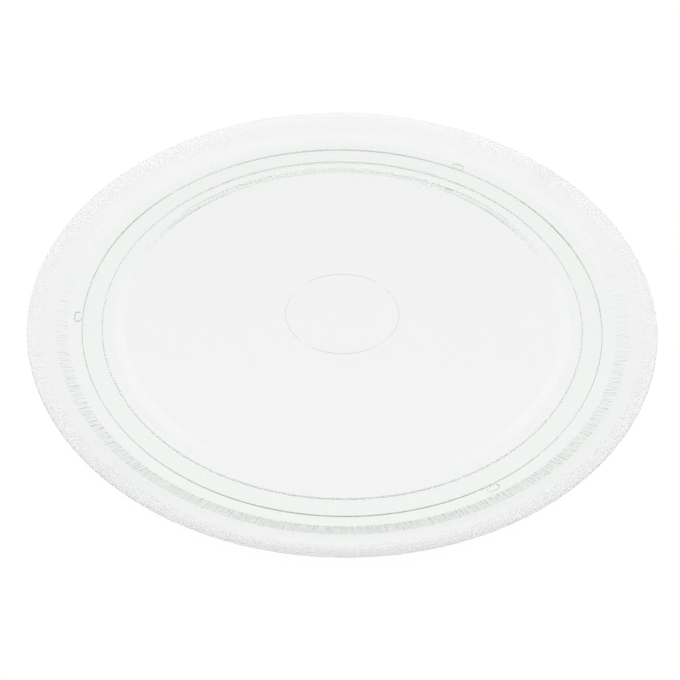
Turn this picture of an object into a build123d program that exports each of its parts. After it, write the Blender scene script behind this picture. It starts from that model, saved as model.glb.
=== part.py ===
from build123d import *
from math import cos, radians, sin, tan
import os

os.makedirs("parts", exist_ok=True)

# Whole plate, in millimetres
plate_diameter = 245.0
ledge_thickness = 5.0  # glass from the flat top down to the ledge that carries the foot ring

# Rim, a gently rising flange that ends in a rounded lip
lip_rise = 0.7  # outermost line of the lip above the flat top
lip_top_radius = 1.8
lip_under_radius = 2.2
lip_under_angle = 18.0  # slope of the lip's underside
lip_under_width = 4.7  # from the outer edge in to where the lip's underside begins
rim_top_angle = 12.0  # slope of the flange's upper face
rim_bend_radius = 80.0  # wide soft hollow where the flat top turns up into the flange
rim_under_angle = 8.0  # slope of the flange's lower face
rim_under_width = 15.9  # from the outer edge in to where the underside leaves the ledge
rim_step_width = 5.2  # steeper start of the flange's underside
rim_step_start_radius = 5.5

# Foot ring under the ledge, from the rim inwards
outer_ledge_width = 4.65
foot_ring_width = 8.25
foot_ring_height = 1.5
foot_ring_outer_draft = 0.26  # how far the outer wall leans in over its height
foot_ring_inner_draft = 0.42
foot_ring_edge_bevel = 0.25
inner_ledge_width = 4.5

# Shallow recess in the underside that takes the roller ring
recess_depth = 1.0
recess_slope_width = 3.9
recess_corner_radius = 2.5  # soft corner where the slope meets the floor of the recess

# Fine ridge left by the round mould insert in the middle of the underside
insert_ridge_diameter = 44.6
insert_ridge_width = 0.3
insert_ridge_height = 0.12

# Small stops on the ledge outside the foot ring
stop_count = 3
stop_angle = 62.0
stop_gap = 0.5  # between the foot ring and each stop
stop_length = 4.8
stop_width = 2.5
stop_height = 1.0
stop_corner_radius = 0.8

# Heights, with the foot ring standing on z = 0
ledge_under = foot_ring_height
floor_under = ledge_under + recess_depth
floor_top = ledge_under + ledge_thickness
lip_middle = floor_top + lip_rise

# Radii, worked inwards from the outer edge
outer_edge = plate_diameter / 2
lip_under_start_radius = outer_edge - lip_under_width
rim_under_start = outer_edge - rim_under_width
rim_step_end_radius = rim_under_start + rim_step_width
foot_ring_outside = rim_under_start - outer_ledge_width
foot_ring_inside = foot_ring_outside - foot_ring_width
recess_outside = foot_ring_inside - inner_ledge_width
recess_inside = recess_outside - recess_slope_width
insert_ridge_radius = insert_ridge_diameter / 2
stop_circle = foot_ring_outside + stop_gap + stop_width / 2


def round_end(centre, radius, angle):
    """Point where a lip rounding ends, at an angle from the outward direction."""
    return (centre[0] + radius * cos(radians(angle)), centre[1] + radius * sin(radians(angle)))


def down_slope(point, slope, radius):
    """Point at a radius on the line that falls inwards from a point at a slope."""
    return (radius, point[1] - (point[0] - radius) * tan(radians(slope)))


# The lip's two roundings meet on its outermost line
lip_top_centre = (outer_edge - lip_top_radius, lip_middle)
lip_under_centre = (outer_edge - lip_under_radius, lip_middle)
lip_top_turn = 90 + rim_top_angle
lip_under_turn = 90 - lip_under_angle
lip_top_end = round_end(lip_top_centre, lip_top_radius, lip_top_turn)
lip_under_end = round_end(lip_under_centre, lip_under_radius, -lip_under_turn)

# Corners of the flange and of the underside
rim_bend = (lip_top_end[0] - (lip_top_end[1] - floor_top) / tan(radians(rim_top_angle)), floor_top)
lip_under_start = down_slope(lip_under_end, lip_under_angle, lip_under_start_radius)
rim_step_end = down_slope(lip_under_start, rim_under_angle, rim_step_end_radius)
rim_under_corner = (rim_under_start, ledge_under)
foot_ring_outer_edge = (foot_ring_outside - foot_ring_outer_draft, 0)
foot_ring_inner_edge = (foot_ring_inside + foot_ring_inner_draft, 0)
recess_corner = (recess_inside, floor_under)

with BuildPart() as glass_plate:
    # The plate is one pressing, turned from its half section
    with BuildSketch(Plane.XZ) as section:
        with BuildLine():
            Polyline(
                lip_under_end,
                lip_under_start,
                rim_step_end,
                rim_under_corner,
                (foot_ring_outside, ledge_under),
                foot_ring_outer_edge,
                foot_ring_inner_edge,
                (foot_ring_inside, ledge_under),
                (recess_outside, ledge_under),
                recess_corner,
                (insert_ridge_radius + insert_ridge_width / 2, floor_under),
                (insert_ridge_radius, floor_under - insert_ridge_height),
                (insert_ridge_radius - insert_ridge_width / 2, floor_under),
                (0, floor_under),
                (0, floor_top),
                rim_bend,
                lip_top_end,
            )
            CenterArc(lip_under_centre, lip_under_radius, -lip_under_turn, lip_under_turn)
            CenterArc(lip_top_centre, lip_top_radius, 0, lip_top_turn)
        make_face()
        for corner, radius in (
            (rim_bend, rim_bend_radius),
            (rim_under_corner, rim_step_start_radius),
            (recess_corner, recess_corner_radius),
        ):
            fillet(section.vertices().sort_by_distance(corner)[0], radius)
        for corner in (foot_ring_outer_edge, foot_ring_inner_edge):
            chamfer(section.vertices().sort_by_distance(corner)[0], foot_ring_edge_bevel)
    revolve(axis=Axis.Z)

    # Stops on the outer ledge, close to the foot ring
    with BuildSketch(Plane.XY.offset(ledge_under)):
        with PolarLocations(stop_circle, stop_count, start_angle=stop_angle):
            RectangleRounded(stop_width, stop_length, stop_corner_radius)
    extrude(amount=-stop_height)

glass_plate.part.label = "glass_plate"
export_step(glass_plate.part, "parts/glass_plate.step")
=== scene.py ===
"""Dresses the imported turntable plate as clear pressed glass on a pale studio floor.

The file is laid out as a Blender add-on and is run as a script.
"""

from math import atan2, ceil, cos, pi, radians, sin, tan

import bpy
import numpy as np
from mathutils import Matrix, Vector


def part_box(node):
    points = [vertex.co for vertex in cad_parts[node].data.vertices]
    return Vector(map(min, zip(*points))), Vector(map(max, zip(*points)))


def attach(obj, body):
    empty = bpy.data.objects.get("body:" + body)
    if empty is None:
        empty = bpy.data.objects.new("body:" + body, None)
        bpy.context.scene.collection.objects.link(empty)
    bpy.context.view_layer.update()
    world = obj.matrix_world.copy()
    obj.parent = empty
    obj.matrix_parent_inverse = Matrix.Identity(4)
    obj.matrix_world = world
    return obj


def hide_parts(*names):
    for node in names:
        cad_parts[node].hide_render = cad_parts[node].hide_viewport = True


bl_info = {
    "name": "Microwave Turntable Plate",
    "version": (1, 0, 0),
    "blender": (4, 5, 0),
    "location": "View3D > Sidebar > Turntable Plate",
    "description": "Dresses the packed turntable plate as clear pressed glass on a pale studio floor",
    "category": "Object",
}

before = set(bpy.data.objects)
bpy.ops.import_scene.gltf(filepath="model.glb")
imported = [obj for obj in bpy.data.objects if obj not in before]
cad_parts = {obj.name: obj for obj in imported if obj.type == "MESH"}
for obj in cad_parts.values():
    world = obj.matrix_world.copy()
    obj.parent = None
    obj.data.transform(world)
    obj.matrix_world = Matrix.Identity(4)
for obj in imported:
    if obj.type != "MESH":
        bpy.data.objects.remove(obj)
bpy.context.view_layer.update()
PLATE_LOW, PLATE_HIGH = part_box("glass_plate")

MM = 0.001
SAME_PLACE = 0.001 * MM  # points nearer than this are one point


def linear(hex_colour):
    """Linear red, green and blue of an sRGB hex colour."""
    channels = [int(hex_colour[i : i + 2], 16) / 255 for i in (0, 2, 4)]
    return tuple(c / 12.92 if c <= 0.04045 else ((c + 0.055) / 1.055) ** 2.4 for c in channels)


def length(label, text, millimetres):
    """A size that the sidebar shows as a length."""
    return bpy.props.FloatProperty(
        name=label, description=text, default=millimetres * MM, min=0.0, unit="LENGTH", precision=5
    )


def slope(label, text, degrees):
    """A slope that the sidebar shows as an angle."""
    return bpy.props.FloatProperty(name=label, description=text, default=radians(degrees), subtype="ANGLE")


def amount(label, text, default):
    """A plain number."""
    return bpy.props.FloatProperty(name=label, description=text, default=default, min=0.0, precision=3)


def colour(label, text, hex_colour):
    """A colour, kept in linear light."""
    return bpy.props.FloatVectorProperty(
        name=label, description=text, default=linear(hex_colour), size=3, min=0.0, max=1.0, subtype="COLOR"
    )


class PlateSizes(bpy.types.PropertyGroup):
    """Sizes of the glass plate's half section and of the stops under it"""

    diameter: length("Diameter", "Across the lip", (PLATE_HIGH.x - PLATE_LOW.x) / MM)
    height: length("Height", "From the foot ring to the top of the lip", (PLATE_HIGH.z - PLATE_LOW.z) / MM)
    ledge_thickness: length("Ledge thickness", "Glass between the flat top and the ledge", 5.0)

    lip_top_radius: length("Lip top radius", "Rounding of the lip's upper edge", 1.8)
    lip_under_radius: length("Lip under radius", "Rounding of the lip's lower edge", 2.2)
    lip_under_angle: slope("Lip under slope", "Steeper end of the flange's underside", 18.0)
    lip_under_width: length("Lip under width", "From the outer edge in to the flange", 4.7)
    lip_bend_radius: length("Lip bend radius", "Soft corner from the flange to the lip", 4.0)
    lip_smooth: length("Smooth edge", "Outermost part of the lip, which has no ribs", 1.6)
    rim_top_angle: slope("Rim top slope", "Slope of the flange's upper face", 12.0)
    rim_bend_radius: length("Rim bend radius", "Soft hollow where the flat top turns up", 80.0)
    rim_under_angle: slope("Rim under slope", "Slope of the flange's lower face", 8.0)
    rim_under_width: length("Rim under width", "From the lip in to the ledge", 15.9)
    rim_step_width: length("Rim step width", "Steeper start of the flange's underside", 5.2)
    rim_step_start_radius: length("Step start radius", "Soft corner from the ledge into the step", 5.5)
    rim_step_end_radius: length("Step end radius", "Corner from the step into the flange", 0.4)

    outer_ledge_width: length("Outer ledge width", "From the rim step to the foot ring", 4.65)
    foot_ring_width: length("Foot ring width", "Across the ring's root", 8.25)
    foot_ring_height: length("Foot ring height", "From the ledge down to the floor", 1.5)
    foot_ring_outer_draft: length("Outer draft", "How far the ring's outer wall leans in", 0.3)
    foot_ring_inner_draft: length("Inner draft", "How far the ring's inner wall leans in", 0.42)
    foot_ring_edge_radius: length("Foot ring edge", "Rounding of the ring's two lower edges", 0.3)
    foot_ring_outer_root: length("Outer root", "Rounding where the ring joins the outer ledge", 0.05)
    foot_ring_inner_root: length("Inner root", "Rounding where the ring joins the inner ledge", 0.15)
    inner_ledge_width: length("Inner ledge width", "From the foot ring to the recess", 4.5)

    recess_depth: length("Recess depth", "Hollow in the underside for the roller ring", 1.0)
    recess_slope_width: length("Recess slope width", "Slope between the ledge and the recess", 3.9)
    recess_edge_radius: length("Recess edge", "Rounding at the ledge's inner edge", 0.4)
    recess_corner_radius: length("Recess corner", "Rounding where the slope meets the recess", 2.5)

    insert_ridge_diameter: length("Insert ridge diameter", "Fine ridge round the mould insert", 44.6)
    insert_ridge_width: length("Insert ridge width", "Across the fine ridge", 0.4)
    insert_ridge_height: length("Insert ridge height", "How far the fine ridge stands down", 0.12)
    insert_ridge_radius: length("Insert ridge rounding", "Rounding of the ridge's corners", 0.03)

    stop_count: bpy.props.IntProperty(
        name="Stops", description="Small blocks spaced round the outer ledge", default=3, min=0
    )
    stop_angle: slope("First stop", "Angle of the first stop from the right", 62.0)
    stop_gap: length("Stop gap", "Between the foot ring and each stop", 0.5)
    stop_length: length("Stop length", "Along the ledge", 4.8)
    stop_width: length("Stop width", "Across the ledge", 2.5)
    stop_height: length("Stop height", "How far each stop stands down", 1.0)
    stop_corner_radius: length("Stop corner", "Rounding of each stop's outline", 0.8)
    stop_wall: length("Stop wall", "Width that each stop's rounded wall takes up", 0.4)
    zone_fade: length("Zone fade", "Width over which the underside's texture changes", 0.4)
    bend_fade: length("Bend fade", "Width over which the texture comes in at a soft bend", 1.0)
    floor_fade: length("Floor fade", "From the recess slope in to where the recess is quite plain", 3.0)


class GlassLook(bpy.types.PropertyGroup):
    """Colour and surface of the pressed glass"""

    refraction: amount("Index of refraction", "Soda-lime glass", 1.52)
    tint: colour("Thick tint", "Colour that a thick piece of the glass goes", "DDEEDF")
    tint_density: amount("Tint density", "How fast the tint builds up, per metre", 9.0)
    lamp_colour: colour("Light let through", "Colour of the lamp light that passes each face", "F3F5F3")
    rib_pitch: length("Rib pitch", "Between the fine ribs under the rim", 0.8)
    rib_length: length("Rib length", "How far a rib runs outwards before it changes", 5.0)
    rib_circle: length("Rib circle", "Radius at which the pitch is true", 115.0)
    rib_depth: length("Rib depth", "Height of the fine ribs under the flange's steeper start", 0.2)
    lip_ribs: amount("Lip ribs", "Share of the ribs' height under the lip", 1.0)
    flange_ribs: amount("Flange ribs", "Share of the ribs' height under the rest of the flange", 0.2)
    slope_ribs: amount("Slope ribs", "Share of the ribs' height on the recess slope", 0.1)
    lip_blur: amount("Lip blur", "Roughness of the mould's face under the lip", 0.95)
    step_blur: amount("Step blur", "Roughness under the flange's steeper start", 0.33)
    flange_blur: amount("Flange blur", "Roughness under the rest of the flange", 0.42)
    slope_blur: amount("Slope blur", "Roughness of the recess slope", 0.1)
    outer_wall_blur: amount("Outer wall blur", "Roughness of the foot ring's outer wall", 0.15)
    inner_wall_blur: amount("Inner wall blur", "Roughness of the foot ring's inner wall", 0.2)


class StageLook(bpy.types.PropertyGroup):
    """Floor, light and camera"""

    floor_colour: colour("Floor colour", "Matt white paper", "F8F8F8")
    floor_gap: length("Floor gap", "Between the foot ring and the floor", 0.1)
    floor_reach: length("Floor reach", "From the middle of the floor to its sides", 6000.0)
    floor_white: amount("Floor white", "Brightness of the plain white that lifts the floor", 1.035)
    floor_lift: amount("Floor lift", "Share of plain white in the floor as it is seen", 0.8)
    daylight: amount("Soft light", "Even light that falls on everything", 1.0)
    back_wall: amount("Surroundings behind", "How bright the studio looks behind and overhead", 0.2)
    side_wall: amount("Surroundings beside", "How bright the studio looks to the left and right", 0.9)
    side_start: amount("Side light start", "Share of sideways direction where the side light begins", 0.3)
    side_full: amount("Side light full", "Share of sideways direction where the side light is full", 0.8)
    horizon: amount("Backdrop", "How bright the backdrop looks at the horizon", 0.9)
    horizon_start: amount("Backdrop fade", "Upward share of direction where the backdrop fades", 0.35)
    horizon_height: amount("Backdrop height", "Upward share of direction where the backdrop ends", 0.6)
    light_bounces: bpy.props.IntProperty(
        name="Light bounces", description="How far light is followed inside the glass", default=96, min=1
    )
    camera_distance: length("Camera distance", "From the middle of the plate's top", 697.5)
    camera_elevation: slope("Camera elevation", "Above the plate's top", 44.111)
    camera_roll: slope("Camera roll", "Turn about the line of sight", 0.88064)
    camera_pan: slope("Camera pan", "Turn to the side that frames the plate", 0.064744)
    camera_tilt: slope("Camera tilt", "Turn up or down that frames the plate", 0.99695)
    camera_lens: amount("Camera lens", "Focal length on a 36 mm sensor, in millimetres", 94.235)


def add_node(tree, kind, links=None, **settings):
    """Adds a node, sets its properties and its input values, and links other sockets into it."""
    node = tree.nodes.new(kind)
    for name, value in settings.items():
        setattr(node, name, value)
    for name, source in (links or {}).items():
        if isinstance(source, bpy.types.NodeSocket):
            tree.links.new(source, node.inputs[name])
        else:
            node.inputs[name].default_value = source
    return node


def add_material(name):
    """An empty node material and its output node."""
    material = bpy.data.materials.new(name)
    material.use_nodes = True
    material.node_tree.nodes.clear()
    return material, material.node_tree.nodes.new("ShaderNodeOutputMaterial")


def half_section(sizes):
    """Corners of the half section as (radius, height, rounding), with the places where the texture changes.

    They run from the middle of the underside out to the lip and back to the middle of the top.
    """
    ledge = sizes.foot_ring_height
    recess = ledge + sizes.recess_depth
    top = ledge + sizes.ledge_thickness
    outer = sizes.diameter / 2
    step_start = outer - sizes.rim_under_width
    step_end = step_start + sizes.rim_step_width
    ring_outer = step_start - sizes.outer_ledge_width
    ring_inner = ring_outer - sizes.foot_ring_width
    recess_outer = ring_inner - sizes.inner_ledge_width
    recess_inner = recess_outer - sizes.recess_slope_width
    ridge = sizes.insert_ridge_diameter / 2
    half_ridge = sizes.insert_ridge_width / 2
    ring_edge = sizes.foot_ring_edge_radius

    # The flange's two faces, carried on to the lip's outermost line, where the lip rounds them off
    lip_top = sizes.lip_top_radius
    lip_under = sizes.lip_under_radius
    lip_middle = sizes.height - lip_top
    under_corner = lip_middle - lip_under * tan((pi / 2 - sizes.lip_under_angle) / 2)
    lip_start = outer - sizes.lip_under_width
    lip_start_height = under_corner - sizes.lip_under_width * tan(sizes.lip_under_angle)
    top_corner = lip_middle + lip_top * tan((pi / 2 + sizes.rim_top_angle) / 2)
    step_height = lip_start_height - (lip_start - step_end) * tan(sizes.rim_under_angle)
    bend = outer - (top_corner - top) / tan(sizes.rim_top_angle)

    # Where a textured zone fades into the next
    fade = sizes.zone_fade
    ribs_end = outer - sizes.lip_smooth - fade
    slope_fall = sizes.recess_depth / sizes.recess_slope_width

    stop_rings = [(radius, ledge, 0.0) for radius in stop_lines(sizes, sizes.stop_width, stop_circle(sizes))]
    return [
        (0.0, recess, 0.0),
        (ridge - half_ridge, recess, sizes.insert_ridge_radius),
        (ridge, recess - sizes.insert_ridge_height, sizes.insert_ridge_radius),
        (ridge + half_ridge, recess, sizes.insert_ridge_radius),
        (recess_inner - sizes.floor_fade, recess, 0.0),
        (recess_inner, recess, sizes.recess_corner_radius),
        (recess_outer - fade, ledge + fade * slope_fall, 0.0),
        (recess_outer, ledge, sizes.recess_edge_radius),
        (ring_inner - fade, ledge, 0.0),
        (ring_inner, ledge, sizes.foot_ring_inner_root),
        (ring_inner + sizes.foot_ring_inner_draft, 0.0, ring_edge),
        (ring_outer - sizes.foot_ring_outer_draft, 0.0, ring_edge),
        (ring_outer, ledge, sizes.foot_ring_outer_root),
        *stop_rings,
        (step_start, ledge, sizes.rim_step_start_radius),
        (step_end, step_height, sizes.rim_step_end_radius),
        (step_end + fade, step_height + fade * tan(sizes.rim_under_angle), 0.0),
        (lip_start - 2 * fade, lip_start_height - 2 * fade * tan(sizes.rim_under_angle), 0.0),
        (lip_start, lip_start_height, sizes.lip_bend_radius),
        (ribs_end, lip_start_height + (ribs_end - lip_start) * tan(sizes.lip_under_angle), 0.0),
        (outer, under_corner, lip_under),
        (outer, top_corner, lip_top),
        (bend, top, sizes.rim_bend_radius),
        (0.0, top, 0.0),
    ]


def rounded_path(corners, arc_step=radians(5.0)):
    """Points along the section and the directions out of the glass, with tangent arcs at the corners."""
    points = []
    normals = []
    places = [Vector(corner[:2]) for corner in corners]
    for index, place in enumerate(places):
        before = (place - places[index - 1]).normalized() if index else None
        after = (places[index + 1] - place).normalized() if index + 1 < len(places) else None
        before = before or after
        after = after or before
        turn = atan2(before.cross(after), before.dot(after))
        rounding = corners[index][2]
        start = place - before * rounding * tan(abs(turn) / 2)
        side = Vector((-before.y, before.x)) * rounding * (1 if turn > 0 else -1)
        steps = max(2, ceil(abs(turn) / arc_step)) if rounding else 0
        for step in range(steps + 1):
            spin = Matrix.Rotation(turn * step / max(steps, 1), 2)
            point = start + side + spin @ -side
            heading = spin @ before
            if not points or (point - points[-1]).length > SAME_PLACE:
                points.append(point)
                normals.append(Vector((heading.y, -heading.x)))
    return np.array(points), np.array(normals)


def stop_circle(sizes):
    """Radius at which the stops stand, close outside the foot ring."""
    ring_outer = sizes.diameter / 2 - sizes.rim_under_width - sizes.outer_ledge_width
    return ring_outer + sizes.stop_gap + sizes.stop_width / 2


def stop_lines(sizes, across, middle):
    """Places of the mesh lines that carry a stop's two walls, along one direction."""
    past_foot = 0.75 * sizes.stop_wall
    reach = across / 2 + past_foot
    depth = past_foot + sizes.stop_corner_radius
    steps = 12
    rising = [reach - depth * step / steps for step in range(steps + 1)]
    return [middle - place for place in rising] + [middle] + [middle + place for place in reversed(rising)]


def stop_height(sizes, along, across):
    """Height of a stop's rounded block at places along and across the ledge from its middle."""
    reach_along = np.abs(along) - sizes.stop_length / 2 + sizes.stop_corner_radius
    reach_across = np.abs(across) - sizes.stop_width / 2 + sizes.stop_corner_radius
    outside = np.hypot(np.maximum(reach_along, 0), np.maximum(reach_across, 0))
    inside = np.minimum(np.maximum(reach_along, reach_across), 0)
    distance = outside + inside - sizes.stop_corner_radius
    share = np.clip(0.5 - distance / sizes.stop_wall, 0, 1)
    return sizes.stop_height * share**2 * (3 - 2 * share)


def column_angles(sizes, spacing=radians(1.0)):
    """Angles of the mesh columns: even steps all round, with close lines at each stop."""
    circle = stop_circle(sizes)
    stops = [sizes.stop_angle + index * 2 * pi / sizes.stop_count for index in range(sizes.stop_count)]
    close = [angle / circle for angle in stop_lines(sizes, sizes.stop_length, 0.0)]
    clear = max(close) + spacing / 2
    even = [index * spacing for index in range(round(2 * pi / spacing))]
    even = [angle for angle in even if all(abs(angle - stop) > clear for stop in stops)]
    return np.array(sorted(even + [stop + angle for stop in stops for angle in close])), stops


def raise_stops(sizes, places, normals, stops):
    """Lowers the ledge's points into the stops and turns their normals to suit."""
    ledge = sizes.foot_ring_height
    circle = stop_circle(sizes)
    reach = sizes.stop_width / 2 + sizes.stop_wall
    radius = np.hypot(places[..., 0], places[..., 1])
    on_ledge = (np.abs(places[..., 2] - ledge) < SAME_PLACE) & (np.abs(radius - circle) < reach)
    for stop in stops:
        outward = np.array((cos(stop), sin(stop)))
        sideways = np.array((-sin(stop), cos(stop)))
        across = places[..., :2] @ outward - circle
        along = places[..., :2] @ sideways
        height = stop_height(sizes, along, across)
        near = on_ledge & (height > 0)
        further_across = stop_height(sizes, along, across + SAME_PLACE)
        nearer_across = stop_height(sizes, along, across - SAME_PLACE)
        rise_across = (further_across - nearer_across) / (2 * SAME_PLACE)
        further_along = stop_height(sizes, along + SAME_PLACE, across)
        nearer_along = stop_height(sizes, along - SAME_PLACE, across)
        rise_along = (further_along - nearer_along) / (2 * SAME_PLACE)
        lean = -(rise_across[..., None] * outward + rise_along[..., None] * sideways)
        facing = np.concatenate((lean, -np.ones_like(height)[..., None]), axis=-1)
        facing /= np.linalg.norm(facing, axis=-1, keepdims=True)
        normals[near] = facing[near]
        places[..., 2] -= np.where(near, height, 0)


def zone_shares(sizes, points, normals, recess_slope, inner_wall, outer_wall, step, flange, lip, edge):
    """A value for each ring of the section, from the underside's textured zones. The rest has none."""
    outer = sizes.diameter / 2
    step_start = outer - sizes.rim_under_width
    step_end = step_start + sizes.rim_step_width
    lip_start = outer - sizes.lip_under_width
    ring_outer = step_start - sizes.outer_ledge_width
    ring_inner = ring_outer - sizes.foot_ring_width
    slope_outer = ring_inner - sizes.inner_ledge_width
    slope_inner = slope_outer - sizes.recess_slope_width
    fade = sizes.zone_fade
    places = (
        (slope_inner - sizes.bend_fade, 0),
        (slope_inner, recess_slope),
        (slope_outer - fade, recess_slope),
        (slope_outer, 0),
        (ring_inner - fade, 0),
        (ring_inner - fade / 4, inner_wall),
        (ring_outer + fade / 4, outer_wall),
        (ring_outer + fade, 0),
        (step_start - sizes.bend_fade, 0),
        (step_start + sizes.bend_fade, step),
        (step_end, step),
        (step_end + fade, flange),
        (lip_start - 2 * fade, flange),
        (lip_start, lip),
        (outer - sizes.lip_smooth - fade, lip),
        (outer - sizes.lip_smooth, edge),
    )
    # Faces that look up are fire-polished
    looks_up = normals[:, 1] >= 0.5
    return np.where(~looks_up, np.interp(points[:, 0], *zip(*places)), 0)


def plate_mesh(sizes, look):
    """The plate's half section turned into one closed mesh, with its true normals and textured zones."""
    points, section_normals = rounded_path(half_section(sizes))
    angles, stops = column_angles(sizes)
    # From the recess out to the lip's edge, in the order that zone_shares takes them
    zones = {
        "ribs": (look.slope_ribs, 0.0, 0.0, 1.0, look.flange_ribs, look.lip_ribs, 0.0),
        "blur": (
            look.slope_blur,
            look.inner_wall_blur,
            look.outer_wall_blur,
            look.step_blur,
            look.flange_blur,
            look.lip_blur,
            look.lip_blur,
        ),
    }

    turned = np.stack((np.cos(angles), np.sin(angles)), axis=-1)
    rings = points[1:-1]
    ring_normals = section_normals[1:-1]
    shape = (len(rings), len(angles), 1)
    places = np.concatenate(
        (rings[:, None, :1] * turned, np.broadcast_to(rings[:, None, 1:], shape)), axis=-1
    )
    normals = np.concatenate(
        (ring_normals[:, None, :1] * turned, np.broadcast_to(ring_normals[:, None, 1:], shape)), axis=-1
    )
    raise_stops(sizes, places, normals, stops)

    count = len(angles)
    last = len(rings) * count
    vertices = np.concatenate((places.reshape(-1, 3), ((0, 0, points[0, 1]), (0, 0, points[-1, 1]))))
    all_normals = np.concatenate((normals.reshape(-1, 3), ((0, 0, -1), (0, 0, 1))))
    columns = np.arange(count)
    following = np.roll(columns, -1)
    faces = []
    for ring in range(len(rings) - 1):
        near = ring * count
        far = near + count
        corners = (near + columns, near + following, far + following, far + columns)
        faces += np.stack(corners, axis=-1).tolist()
    faces += np.stack((following, columns, np.full(count, last)), axis=-1).tolist()
    top = last - count
    faces += np.stack((top + columns, top + following, np.full(count, last + 1)), axis=-1).tolist()

    mesh = bpy.data.meshes.new("pressed_glass_plate")
    mesh.from_pydata(vertices.tolist(), [], faces)
    mesh.shade_smooth()
    mesh.normals_split_custom_set_from_vertices(all_normals.tolist())
    for name, values in zones.items():
        share = zone_shares(sizes, points, section_normals, *values)
        point_shares = np.concatenate((np.repeat(share[1:-1], count), (share[0], share[-1])))
        mesh.attributes.new(name, "FLOAT", "POINT").data.foreach_set("value", point_shares)
    return mesh


def pressed_glass(look):
    """Clear soda-lime glass, pressed in a mould.

    The top is fire-polished and quite smooth. Under the rim the mould leaves fine radial ribs, which break
    the view into comb lines, and a matt face, which greys it. Light goes slightly green on a long way
    through the glass.
    """
    material, output = add_material("Clear pressed soda-lime glass")
    tree = material.node_tree
    place = add_node(tree, "ShaderNodeTexCoord")
    share = add_node(tree, "ShaderNodeAttribute", attribute_name="ribs")
    blur = add_node(tree, "ShaderNodeAttribute", attribute_name="blur")
    flat = add_node(
        tree, "ShaderNodeVectorMath", {0: place.outputs["Object"], 1: (1.0, 1.0, 0.0)}, operation="MULTIPLY"
    )
    radius = add_node(tree, "ShaderNodeVectorMath", {0: flat.outputs["Vector"]}, operation="LENGTH")
    heading = add_node(tree, "ShaderNodeVectorMath", {0: flat.outputs["Vector"]}, operation="NORMALIZE")
    around = add_node(
        tree,
        "ShaderNodeVectorMath",
        {0: heading.outputs["Vector"], "Scale": look.rib_circle / look.rib_pitch},
        operation="SCALE",
    )
    outward = add_node(
        tree, "ShaderNodeMath", {0: radius.outputs["Value"], 1: 1 / look.rib_length}, operation="MULTIPLY"
    )
    along = add_node(tree, "ShaderNodeCombineXYZ", {"Z": outward.outputs["Value"]})
    ribs = add_node(
        tree,
        "ShaderNodeVectorMath",
        {0: around.outputs["Vector"], 1: along.outputs["Vector"]},
        operation="ADD",
    )
    comb = add_node(
        tree, "ShaderNodeTexNoise", {"Vector": ribs.outputs["Vector"], "Scale": 1.0, "Detail": 0.0}
    )
    surface = add_node(
        tree,
        "ShaderNodeBump",
        {
            "Height": comb.outputs["Fac"],
            "Strength": share.outputs["Fac"],
            "Distance": look.rib_depth,
        },
    )
    glass = add_node(
        tree,
        "ShaderNodeBsdfPrincipled",
        {
            "Base Color": (1.0, 1.0, 1.0, 1.0),
            "Roughness": blur.outputs["Fac"],
            "IOR": look.refraction,
            "Transmission Weight": 1.0,
            "Normal": surface.outputs["Normal"],
        },
    )

    # Lamp light goes straight through, so the floor under the plate is evenly lit
    light = add_node(tree, "ShaderNodeLightPath")
    lamp = add_node(
        tree,
        "ShaderNodeMath",
        {0: light.outputs["Is Shadow Ray"], 1: light.outputs["Is Diffuse Ray"]},
        operation="MAXIMUM",
    )
    clear = add_node(tree, "ShaderNodeBsdfTransparent", {"Color": (*look.lamp_colour, 1.0)})
    mixed = add_node(
        tree,
        "ShaderNodeMixShader",
        {0: lamp.outputs["Value"], 1: glass.outputs["BSDF"], 2: clear.outputs["BSDF"]},
    )
    tint = add_node(
        tree, "ShaderNodeVolumeAbsorption", {"Color": (*look.tint, 1.0), "Density": look.tint_density}
    )
    tree.links.new(mixed.outputs["Shader"], output.inputs["Surface"])
    tree.links.new(tint.outputs["Volume"], output.inputs["Volume"])
    return material


def studio_paper(look):
    """Matt white paper, which takes the plate's soft shadow and is lifted to white in the picture."""
    material, output = add_material("Matt white studio paper")
    tree = material.node_tree
    light = add_node(tree, "ShaderNodeLightPath")
    direct = add_node(
        tree,
        "ShaderNodeMath",
        {0: light.outputs["Is Camera Ray"], 1: light.outputs["Is Glossy Ray"]},
        operation="MAXIMUM",
    )
    seen = add_node(
        tree,
        "ShaderNodeMath",
        {0: direct.outputs["Value"], 1: light.outputs["Is Transmission Ray"]},
        operation="MAXIMUM",
    )
    share = add_node(
        tree, "ShaderNodeMath", {0: seen.outputs["Value"], 1: look.floor_lift}, operation="MULTIPLY"
    )
    paper = add_node(tree, "ShaderNodeBsdfDiffuse", {"Color": (*look.floor_colour, 1.0)})
    white = add_node(tree, "ShaderNodeEmission", {"Strength": look.floor_white})
    both = add_node(
        tree,
        "ShaderNodeMixShader",
        {0: share.outputs["Value"], 1: paper.outputs["BSDF"], 2: white.outputs["Emission"]},
    )
    tree.links.new(both.outputs["Shader"], output.inputs["Surface"])
    return material


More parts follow.
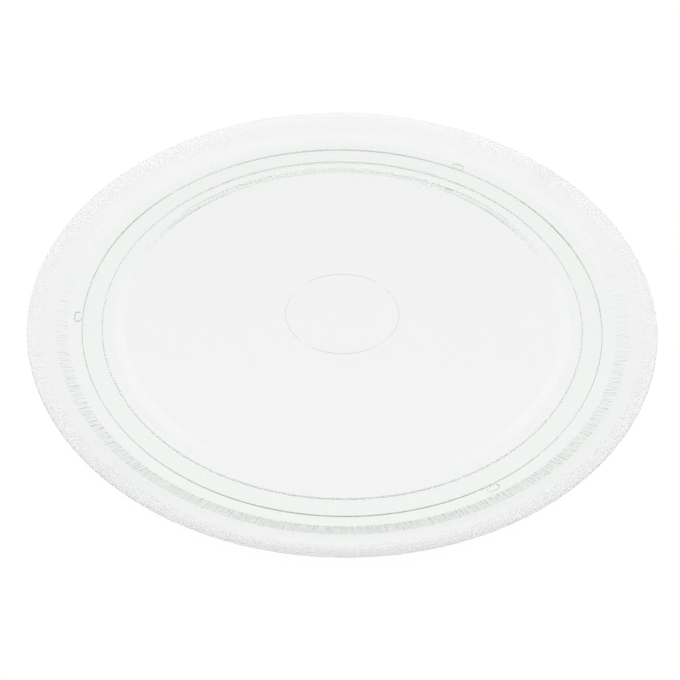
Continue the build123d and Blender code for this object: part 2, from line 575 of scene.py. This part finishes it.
def studio_world(look):
    """Even soft light, and surroundings that show in the glass.

    They are a pale backdrop at the horizon and bright sides, and are dark overhead and behind.
    """
    world = bpy.data.worlds.new("Soft studio")
    world.use_nodes = True
    tree = world.node_tree
    tree.nodes.clear()
    output = tree.nodes.new("ShaderNodeOutputWorld")
    direction = add_node(tree, "ShaderNodeTexCoord")
    axes = add_node(tree, "ShaderNodeSeparateXYZ", {0: direction.outputs["Generated"]})
    sideways = add_node(tree, "ShaderNodeMath", {0: axes.outputs["X"]}, operation="ABSOLUTE")
    shade = add_node(
        tree,
        "ShaderNodeMapRange",
        {
            "Value": sideways.outputs["Value"],
            "From Min": look.side_start,
            "From Max": look.side_full,
            "To Min": look.back_wall,
            "To Max": look.side_wall,
        },
        interpolation_type="SMOOTHSTEP",
    )
    backdrop = add_node(
        tree,
        "ShaderNodeMapRange",
        {
            "Value": axes.outputs["Z"],
            "From Min": look.horizon_start,
            "From Max": look.horizon_height,
            "To Min": look.horizon,
            "To Max": 0.0,
        },
        interpolation_type="SMOOTHSTEP",
    )
    around = add_node(
        tree,
        "ShaderNodeMath",
        {0: shade.outputs["Result"], 1: backdrop.outputs["Result"]},
        operation="MAXIMUM",
    )
    light = add_node(tree, "ShaderNodeLightPath")
    direct = add_node(
        tree,
        "ShaderNodeMath",
        {0: light.outputs["Is Camera Ray"], 1: light.outputs["Is Glossy Ray"]},
        operation="MAXIMUM",
    )
    seen = add_node(
        tree,
        "ShaderNodeMath",
        {0: direct.outputs["Value"], 1: light.outputs["Is Transmission Ray"]},
        operation="MAXIMUM",
    )
    soft = add_node(tree, "ShaderNodeBackground", {"Strength": look.daylight})
    shown = add_node(tree, "ShaderNodeBackground", {"Strength": around.outputs["Value"]})
    for background in (soft, shown):
        background.inputs["Color"].default_value = (1.0, 1.0, 1.0, 1.0)
    mixed = add_node(
        tree,
        "ShaderNodeMixShader",
        {0: seen.outputs["Value"], 1: soft.outputs["Background"], 2: shown.outputs["Background"]},
    )
    tree.links.new(mixed.outputs["Shader"], output.inputs["Surface"])
    return world


class TURNTABLE_OT_glass_plate(bpy.types.Operator):
    """Build the pressed glass plate over its solid"""

    bl_idname = "turntable.glass_plate"
    bl_label = "Glass Plate"

    def execute(self, context):
        scene = context.scene
        mesh = plate_mesh(scene.plate_sizes, scene.glass_look)
        mesh.materials.append(pressed_glass(scene.glass_look))
        plate = bpy.data.objects.new("pressed_glass_plate", mesh)
        scene.collection.objects.link(plate)
        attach(plate, "root")
        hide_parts("glass_plate")
        return {"FINISHED"}


class TURNTABLE_OT_stage(bpy.types.Operator):
    """Set the floor, the light and the camera"""

    bl_idname = "turntable.stage"
    bl_label = "Stage"

    def execute(self, context):
        scene = context.scene
        look = scene.stage_look
        scene.view_settings.view_transform = "Standard"
        scene.world = studio_world(look)

        # Light that is caught in the glass is followed until it finds its way out
        scene.cycles.max_bounces = look.light_bounces
        scene.cycles.glossy_bounces = look.light_bounces
        scene.cycles.transmission_bounces = look.light_bounces

        reach = look.floor_reach
        paper = bpy.data.meshes.new("studio_floor")
        corners = [(-reach, -reach), (reach, -reach), (reach, reach), (-reach, reach)]
        paper.from_pydata([(x, y, -look.floor_gap) for x, y in corners], [], [(0, 1, 2, 3)])
        paper.materials.append(studio_paper(look))
        floor = bpy.data.objects.new("studio_floor", paper)
        scene.collection.objects.link(floor)

        camera = bpy.data.objects.new("camera", bpy.data.cameras.new("camera"))
        camera.data.sensor_width = 36.0
        camera.data.lens = look.camera_lens
        camera.matrix_world = camera_place(scene.plate_sizes, look)
        scene.collection.objects.link(camera)
        scene.camera = camera
        return {"FINISHED"}


def camera_place(sizes, look):
    """Place of the camera, in front of the plate and a little turned to frame it as the photograph does."""
    aim = Vector((0, 0, sizes.foot_ring_height + sizes.ledge_thickness))
    back = Vector((0, -cos(look.camera_elevation), sin(look.camera_elevation)))
    right = Vector((1, 0, 0))
    up = right.cross(-back)
    level = Matrix((right, -up, -back))
    panned = Matrix.Rotation(look.camera_pan, 3, "Y") @ level
    tilted = Matrix.Rotation(look.camera_tilt, 3, "X") @ panned
    turned = Matrix.Rotation(look.camera_roll, 3, "Z") @ tilted
    axes = Matrix((turned[0], -turned[1], -turned[2])).transposed()
    return Matrix.Translation(aim + back * look.camera_distance) @ axes.to_4x4()


class VIEW3D_PT_turntable_plate(bpy.types.Panel):
    """Sizes, colours and steps of the turntable plate"""

    bl_label = "Turntable Plate"
    bl_space_type = "VIEW_3D"
    bl_region_type = "UI"
    bl_category = "Turntable Plate"

    def draw(self, context):
        for group in (context.scene.plate_sizes, context.scene.glass_look, context.scene.stage_look):
            box = self.layout.box()
            for name in group.bl_rna.properties.keys():
                if name not in ("rna_type", "name"):
                    box.prop(group, name)
        for operator in OPERATORS:
            self.layout.operator(operator.bl_idname)


OPERATORS = (TURNTABLE_OT_glass_plate, TURNTABLE_OT_stage)
CLASSES = (PlateSizes, GlassLook, StageLook, *OPERATORS, VIEW3D_PT_turntable_plate)


def register():
    for cls in CLASSES:
        bpy.utils.register_class(cls)
    bpy.types.Scene.plate_sizes = bpy.props.PointerProperty(type=PlateSizes)
    bpy.types.Scene.glass_look = bpy.props.PointerProperty(type=GlassLook)
    bpy.types.Scene.stage_look = bpy.props.PointerProperty(type=StageLook)


def unregister():
    del bpy.types.Scene.stage_look
    del bpy.types.Scene.glass_look
    del bpy.types.Scene.plate_sizes
    for cls in reversed(CLASSES):
        bpy.utils.unregister_class(cls)


def main():
    register()
    bpy.ops.turntable.glass_plate()
    bpy.ops.turntable.stage()


if __name__ == "__main__":
    main()
